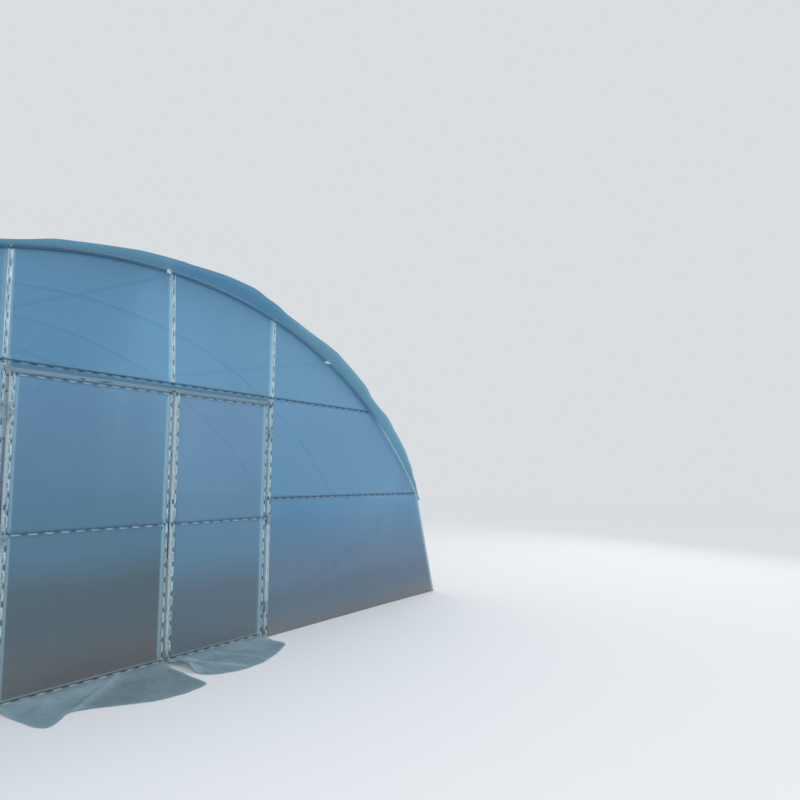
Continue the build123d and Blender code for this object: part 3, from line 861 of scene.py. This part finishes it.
flapEdge = [(x, headerZ - flap["drop"] + flap["unevenness"] * wave(x, 0.0, 0.0, 0.3))
            for x in np.arange(-doorEdge + flap["step"], doorEdge - flap["step"] / 2, flap["step"])]
doorTop = headerZ - channel["halfBack"]
backOutline = [(x, max(z, 0.0)) for x, z in archPoints(filmEdge, 0.05)]
frontOutline = (backOutline + [(-doorEdge, 0.0), (-doorEdge, doorTop)] + flapEdge
                + [(doorEdge, doorTop), (doorEdge, 0.0)])
filmPanel("frontSheet", frontOutline, gableLines, gableRing, frontPlane, -1, "gableFilm", "frame",
          ("front_left_film", "front_right_film", "front_top_film"),
          wrapRound, 3.0)
filmPanel("backSheet", backOutline, gableLines, gableRing, backPlane, 1, "gableFilm", "frame",
          ("back_film",), wrapRound, 9.0)


def leafLines(leaf):
    a, b, c, d = leaf
    rails = [((a, z), (b, z)) for z in (c, leafMidZ, d)]
    return [((a, c), (a, d)), ((b, c), (b, d))] + rails


for side, leaf in leaves.items():
    edge = channel["halfBack"] - 0.001
    a, b, c, d = leaf[0] - edge, leaf[1] + edge, leaf[2] - edge, leaf[3] + edge
    filmPanel(side + "DoorSheet", [(a, c), (b, c), (b, d), (a, d)], leafLines(leaf), [], frontPlane, -1,
              side + "DoorFilm", side + "_door", (side + "_door_film",), None,
              12.0 + leaf[0])

# Film tails: loose film that comes down from each leaf's bottom rail and lies on the ground
tails = {
    "left": {
        # Outer edge: across the tunnel, and out from the gable's tubes
        "edge": [(-1.085, 0.0), (-1.085, 0.16), (-1.09, 0.43), (-1.06, 0.5), (-0.99, 0.47), (-0.85, 0.365),
                 (-0.76, 0.4), (-0.438, 0.611), (-0.23, 0.638), (-0.04, 0.61), (-0.01, 0.55), (0.032, 0.318),
                 (0.064, 0.16), (0.08, 0.0)],
        # Long folds: from, to, height
        "folds": [((-0.28, 0.05), (-0.95, 0.46), 0.03), ((-0.12, 0.06), (-0.5, 0.6), 0.014),
                  ((0.02, 0.1), (-0.2, 0.6), 0.012), ((-0.75, 0.04), (-1.06, 0.3), 0.016)],
        # Painted shade, to the right of the first fold
        "shaded": 0.6,   # to the right of the first fold
    },
    "right": {
        "edge": [(0.125, 0.0), (0.115, 0.16), (0.085, 0.336), (0.1, 0.43), (0.149, 0.488), (0.318, 0.555),
                 (0.556, 0.544), (0.83, 0.44), (1.071, 0.309), (1.085, 0.2), (1.085, 0.0)],
        "folds": [((0.25, 0.06), (0.4, 0.5), 0.014), ((0.5, 0.06), (0.72, 0.46), 0.016),
                  ((0.85, 0.05), (0.95, 0.34), 0.012)],
        "shaded": 0.15,
        # The left corner stands off the ground
        "lift": {"x": 0.1, "width": 0.09, "height": 0.055, "from": 0.05, "to": 0.36},
    },
}
tailShape = {"slope": 0.16, "wrinkle": 0.012, "step": 0.02, "borderAndPaintedLight": 0.035, "clearance": 0.0015}


def distanceTo(p, start, end):
    run = Vector(end) - Vector(start)
    t = max(0.0, min(1.0, (p - Vector(start)).dot(run) / run.length_squared))
    return (p - Vector(start) - run * t).length, t


def makeTail(side, tail):
    start = channel["face"] + 0.001
    outline = [(x, -max(reach, start)) for x, reach in tail["edge"]]
    ring = spreadRing(outline, tailShape["step"])
    for _ in range(3):   # rounds the corners, but not at the leaf
        ring = np.array(ring)
        rounded = (np.roll(ring, 1, 0) + 2 * ring + np.roll(ring, -1, 0)) / 4
        ring = np.where(ring[:, 1:] > -start - 0.01, ring, rounded).tolist()
    (lowX, far), (highX, _) = np.min(ring, 0).tolist(), np.max(ring, 0).tolist()
    extra = [(x, y) for x in np.arange(lowX + 0.01, highX, tailShape["step"])
             for y in np.arange(far + 0.01, -start, tailShape["step"])]
    verts, faces = fillOutline(ring, extra)
    outer = Lines([(a, b) for a, b in zip(ring, ring[1:]) if min(a[1], b[1]) < -start - 0.005])
    top = leaves[side][2] - channel["halfMouth"]
    points, marks = [], []
    for v in verts:
        reach = -v.y - start
        drop = smooth(0.0, tailShape["slope"], reach)
        z = top * (1 - drop)
        ridges = abs(wave(v.x * 2.4, v.y * 0.9, 2.0, 0.28)) + 0.5 * abs(wave(v.x * 5, v.y * 2, 6.0, 0.22))
        z += tailShape["wrinkle"] * ridges * smooth(0.01, 0.1, reach)
        edgeGap = float(outer.nearest(v.x, v.y)[0].min())
        for foldStart, foldEnd, height in tail["folds"]:
            gap, t = distanceTo(Vector((v.x, -v.y)), foldStart, foldEnd)
            bump = height * math.exp(-gap / 0.022) * (0.35 + 0.65 * math.sin(math.pi * min(1.0, 0.1 + t)))
            z += bump * smooth(0.0, 0.05, reach) * smooth(0.0, 0.06, edgeGap)
        if "lift" in tail:
            lift = tail["lift"]
            rising = smooth(lift["from"], lift["from"] + 0.08, reach)
            rising *= 1 - smooth(lift["to"] - 0.12, lift["to"], reach)
            z += lift["height"] * rising * hump(v.x - lift["x"], lift["width"])
        points.append((v.x, frontY + v.y, tailShape["clearance"] + z))
        # A paler border along the cut edge
        pale = 0.3 - 0.3 * smooth(0.4 * tailShape["borderAndPaintedLight"], tailShape["borderAndPaintedLight"], edgeGap)
        foldStart, foldEnd, _ = tail["folds"][0]
        gap, _ = distanceTo(Vector((v.x, -v.y)), foldStart, foldEnd)
        # Painted highlight along the first fold
        bright = 0.3 * math.exp(-gap / 0.01) * smooth(0.0, 0.05, reach)
        run = Vector(foldEnd) - Vector(foldStart)
        leftOf = run.cross(Vector((v.x, -v.y)) - Vector(foldStart)) / run.length
        # Painted shade to the right of the first fold, with tone that differs at random
        dim = tail["shaded"] * smooth(-0.02, 0.05, -leftOf) + 0.2 * wave(v.x, v.y, 3.0, 0.12)
        marks.append((pale, bright, min(1.0, max(0.0, dim))))
    piece = meshPiece(side + "TailSheet", points, faces, films["looseFilm"], side + "_door")
    paint(piece, ("borderAndPaintedLight", "paintedHighlight", "shade"), marks)
    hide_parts(side + "_door_tail")


for side, tail in tails.items():
    makeTail(side, tail)


def tubeMesh(path, radius, sides, points, faces):
    # Adds one round wire along a list of points
    count, start = len(path), len(points)
    for i, p in enumerate(path):
        ahead = (path[min(i + 1, count - 1)] - path[max(i - 1, 0)]).normalized()
        side = ahead.cross(Vector((0.13, 0.99, 0.05))).normalized()
        other = ahead.cross(side)
        for k in range(sides):
            angle = 2 * math.pi * k / sides
            points.append(p + side * (radius * math.cos(angle)) + other * (radius * math.sin(angle)))
    for i in range(count - 1):
        for k in range(sides):
            a, b = start + i * sides + k, start + i * sides + (k + 1) % sides
            faces.append((a, b, b + sides, a + sides))
    faces.append(tuple(start + k for k in reversed(range(sides))))
    faces.append(tuple(start + (count - 1) * sides + k for k in range(sides)))


def wireLine(start, end, outward, axis, trim=0.02):
    # axis: 0, 1 or 2, the direction that the wire runs in, so that film and wire zigzag together
    start, end = Vector(start), Vector(end)
    along = (end - start).normalized()
    start = start + along * trim
    step = wire["wave"] / wire["steps"]
    across = along.cross(outward)
    across *= 1 if across[2 if axis == 0 else 0] > 0 else -1
    path = []
    for i in range(max(4, int(((end - start).length - trim) / step)) + 1):
        spot = start + along * (step * i)
        path.append(spot + across * (wire["swing"] * zigzagAt(spot[axis])) - outward * wire["depth"])
    return path


def wireArch(planeY, outward):
    step = wire["wave"] / wire["steps"]
    path = []
    for i in range(int((hoopLength - 0.04) / step) + 1):
        spot = hoopSpot(0.02 + step * i, wire["swing"] * zigzagAt(step * i), planeY)
        path.append(Vector(spot) - outward * wire["depth"])
    return path


def wirePiece(name, paths, body, look="wireZinc"):
    points, faces = [], []
    for path in paths:
        tubeMesh(path, wire["radius"], wire["sides"], points, faces)
    meshPiece(name, points, faces, zincs[look], body)
    print(name, len(faces), "faces")


def panelWires(lines, planeY, outward, body, uprightName, levelName, levelLook, trim=0.02):
    # One piece for the wires in the upright channels of a panel, one for those in its level channels
    paths = {0: [], 2: []}
    for (ax, az), (bx, bz) in lines:
        axis = 2 if abs(bx - ax) < abs(bz - az) else 0
        paths[axis].append(wireLine((ax, planeY, az), (bx, planeY, bz), outward, axis, trim))
    wirePiece(uprightName, paths[2], body)
    wirePiece(levelName, paths[0], body, levelLook)


# In the gables each wire ends just short of the channels that it meets
(footX, footZ), (headX, headZ) = centrePost
headerReach = headerEnd - 0.02
wireLines = [((-headerReach, headerZ), (headerReach, headerZ)),
             ((footX, footZ + 0.02), (headX, headZ - 0.01))]
for side in (-1, 1):
    wireLines.append(((side * postX, 0.0), (side * postX, headerZ - 0.015)))
    wireLines.append(((side * postX, headerZ + 0.015), (side * postX, postTopZ - 0.01)))
    wireLines.append(((side * (postX + 0.015), railZ), (side * (railEnd - 0.02), railZ)))
forward, backward = Vector((0, -1, 0)), Vector((0, 1, 0))
gables = (("front", frontPlane, forward), ("back", backPlane, backward))
for end, planeY, outward in gables:
    panelWires(wireLines, planeY, outward, "frame", end + "PostWires", end + "LevelWires", "shadedLevelWire")
for end, planeY, outward in gables:
    wirePiece(end + "ArchWire", [wireArch(planeY, outward)], "frame", "archWire")
for side, name in ((-1, "leftSideWire"), (1, "rightSideWire")):
    spot, normal = hoopAt(lockLength, hoopRadius + seatGap + channel["depth"])
    out = Vector((side * normal.x, 0, normal.y))
    ends = [(side * spot.x, y, spot.y) for y in (frontY - hoopRadius, backY + hoopRadius)]
    wirePiece(name, [wireLine(*ends, out, 1)], "frame")
for side, leaf in leaves.items():
    panelWires(leafLines(leaf), frontPlane, forward, side + "_door", side + "StileWires",
               side + "RailWires", "shadedRailWire", 0.022)

# Spring clips that tie the purlins to the hoops
clip = {"radius": 0.0022, "halfWidth": 0.015, "sides": 6}


def clipPath(centre, out, purlinRadius):
    # Over the hoop on one side of the purlin, under the purlin, and back over on the other side
    along = Vector((out.z, 0, -out.x))
    depth = Vector((0, 1, 0))
    over = hoopRadius + clip["radius"]
    under = hoopRadius + seatGap + 2 * purlinRadius + clip["radius"]
    corners = []
    for side in (1, -1):
        for angle in range(-90, 91, 30):
            turn = math.radians(angle) * side
            corners.append(centre + along * (side * clip["halfWidth"]) + depth * (over * math.sin(turn))
                           + out * (over * math.cos(turn)))
        for across in (1, 0.6, 0, -0.6, -1):
            dip = under * (1 - 0.12 * abs(across))
            width = side * clip["halfWidth"] * across
            corners.append(centre + along * width + depth * (over * side) - out * dip)
    return corners + [corners[0]]


points, faces = [], []
purlinLow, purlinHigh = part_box("ridge_purlin")
for s in purlinLengths:
    spot, normal = hoopAt(s)
    for bay in range(tunnel["bayCount"] + 1):
        centre = Vector((spot.x, frontY + bay * tunnel["bayLength"], spot.y))
        path = clipPath(centre, Vector((normal.x, 0, normal.y)), (purlinHigh.x - purlinLow.x) / 2)
        tubeMesh(path, clip["radius"], clip["sides"], points, faces)
meshPiece("purlinClips", points, faces, zincs["wireZinc"], "frame")

# Bright brackets over the front arch's channel, where the purlins end
bracket = {
    "thickness": 0.0016,
    "gap": 0.0012,             # over the channel's mouth
    "beyondPurlin": 0.055,     # further down the arch than the side purlins
    "ridgePlate": (0.02, 0.012),   # half width and half height
    "sidePlate": (0.04, 0.009),
    "tab": (0.008, 0.005),
}


def addPlate(centre, halfWidth, halfHeight, points, faces):
    start = len(points)
    for a in (-1, 1):
        for b in (-1, 1):
            for c in (-1, 1):
                points.append(centre + Vector((a * halfWidth, c * bracket["thickness"] / 2, b * halfHeight)))
    for face in ((0, 1, 3, 2), (4, 6, 7, 5), (0, 4, 5, 1), (2, 3, 7, 6), (0, 2, 6, 4), (1, 5, 7, 3)):
        faces.append(tuple(start + i for i in face))


points, faces = [], []
bracketY = frontPlane - bracket["gap"] - bracket["thickness"] / 2
for length, beyond, plate in zip(purlinLengths, (-1, 0, 1), ("sidePlate", "ridgePlate", "sidePlate")):
    centre = Vector(hoopSpot(length + beyond * bracket["beyondPurlin"], 0.0, bracketY))
    addPlate(centre, *bracket[plate], points, faces)
    tabRise = bracket[plate][1] + bracket["tab"][1]
    addPlate(centre + Vector((0, 0, tabRise)), *bracket["tab"], points, faces)
meshPiece("purlinBrackets", points, faces, zincs["bracketZinc"], "frame", False)
print("wires and clips ready")

# Floor, light and camera
floor = {"size": 60.0, "colour": (0.88, 0.885, 0.885, 1.0)}
bpy.ops.mesh.primitive_plane_add(size=floor["size"], location=(0, 0, 0))
ground = bpy.context.active_object
ground.name = "floor"
groundMaterial, groundTree, groundShader = newMaterial("paleFloor")
groundShader.inputs["Base Color"].default_value = floor["colour"]
groundShader.inputs["Roughness"].default_value = 0.9
ground.data.materials.append(groundMaterial)

light = {
    "worldColour": (0.93, 0.96, 1.0, 1.0),
    "worldStrength": 0.84,
    "backdrop": (0.7, 0.725, 0.75, 1.0),
    "size": 9.0,
    "keyPower": 380.0,
    "keyPlace": (-7.0, -10.0, 9.0),
    "fillPower": 120.0,
    "fillPlace": (9.0, -5.0, 6.0),
}

world = bpy.data.worlds.new("studio")
world.use_nodes = True
tree = world.node_tree
lit = tree.nodes["Background"]
lit.inputs[0].default_value = light["worldColour"]
lit.inputs[1].default_value = light["worldStrength"]
seen = addNode(tree, "ShaderNodeBackground", Color=light["backdrop"])
path = tree.nodes.new("ShaderNodeLightPath")
mix = tree.nodes.new("ShaderNodeMixShader")
# Camera, gloss and glass meet the backdrop; the world outside it only lights
meetsBackdrop = 0.0
for ray in ("Is Camera Ray", "Is Glossy Ray", "Is Transmission Ray"):
    meetsBackdrop = calculate(tree, "MAXIMUM", path.outputs[ray], meetsBackdrop)
for index, source in enumerate((meetsBackdrop, lit.outputs[0], seen.outputs[0])):
    tree.links.new(source, mix.inputs[index])
tree.links.new(mix.outputs[0], tree.nodes["World Output"].inputs[0])
bpy.context.scene.world = world
for name in ("key", "fill"):
    lampData = bpy.data.lights.new(name + "Lamp", "AREA")
    lampData.energy = light[name + "Power"]
    lampData.size = light["size"]
    lamp = bpy.data.objects.new(name + "Lamp", lampData)
    lamp.location = light[name + "Place"]
    lamp.rotation_mode = "QUATERNION"
    lamp.rotation_quaternion = (Vector((0, 0, 1)) - lamp.location).to_track_quat("-Z", "Y")
    bpy.context.scene.collection.objects.link(lamp)

view = {
    "spot": (-3.342, -4.060, 1.379),   # the second is out from the gable's channels
    "heading": 58.21,
    "pitch": 4.51,
    "roll": 0.795,
    "lens": 31.5,
    "shiftY": 0.0222,
}
cameraData = bpy.data.cameras.new("camera")
cameraData.lens = view["lens"]
cameraData.sensor_width = 36.0
cameraData.shift_y = view["shiftY"]
camera = bpy.data.objects.new("camera", cameraData)
bpy.context.scene.collection.objects.link(camera)
heading, pitch, roll = (math.radians(view[k]) for k in ("heading", "pitch", "roll"))
turn = Matrix.Rotation(-heading, 4, "Z") @ Matrix.Rotation(math.pi / 2 + pitch, 4, "X")
spotX, spotY, spotZ = view["spot"]
place = Matrix.Translation((spotX, frontPlane + spotY, spotZ))
camera.matrix_world = place @ turn @ Matrix.Rotation(roll, 4, "Z")
bpy.context.scene.camera = camera
bpy.context.scene.view_settings.view_transform = "Standard"
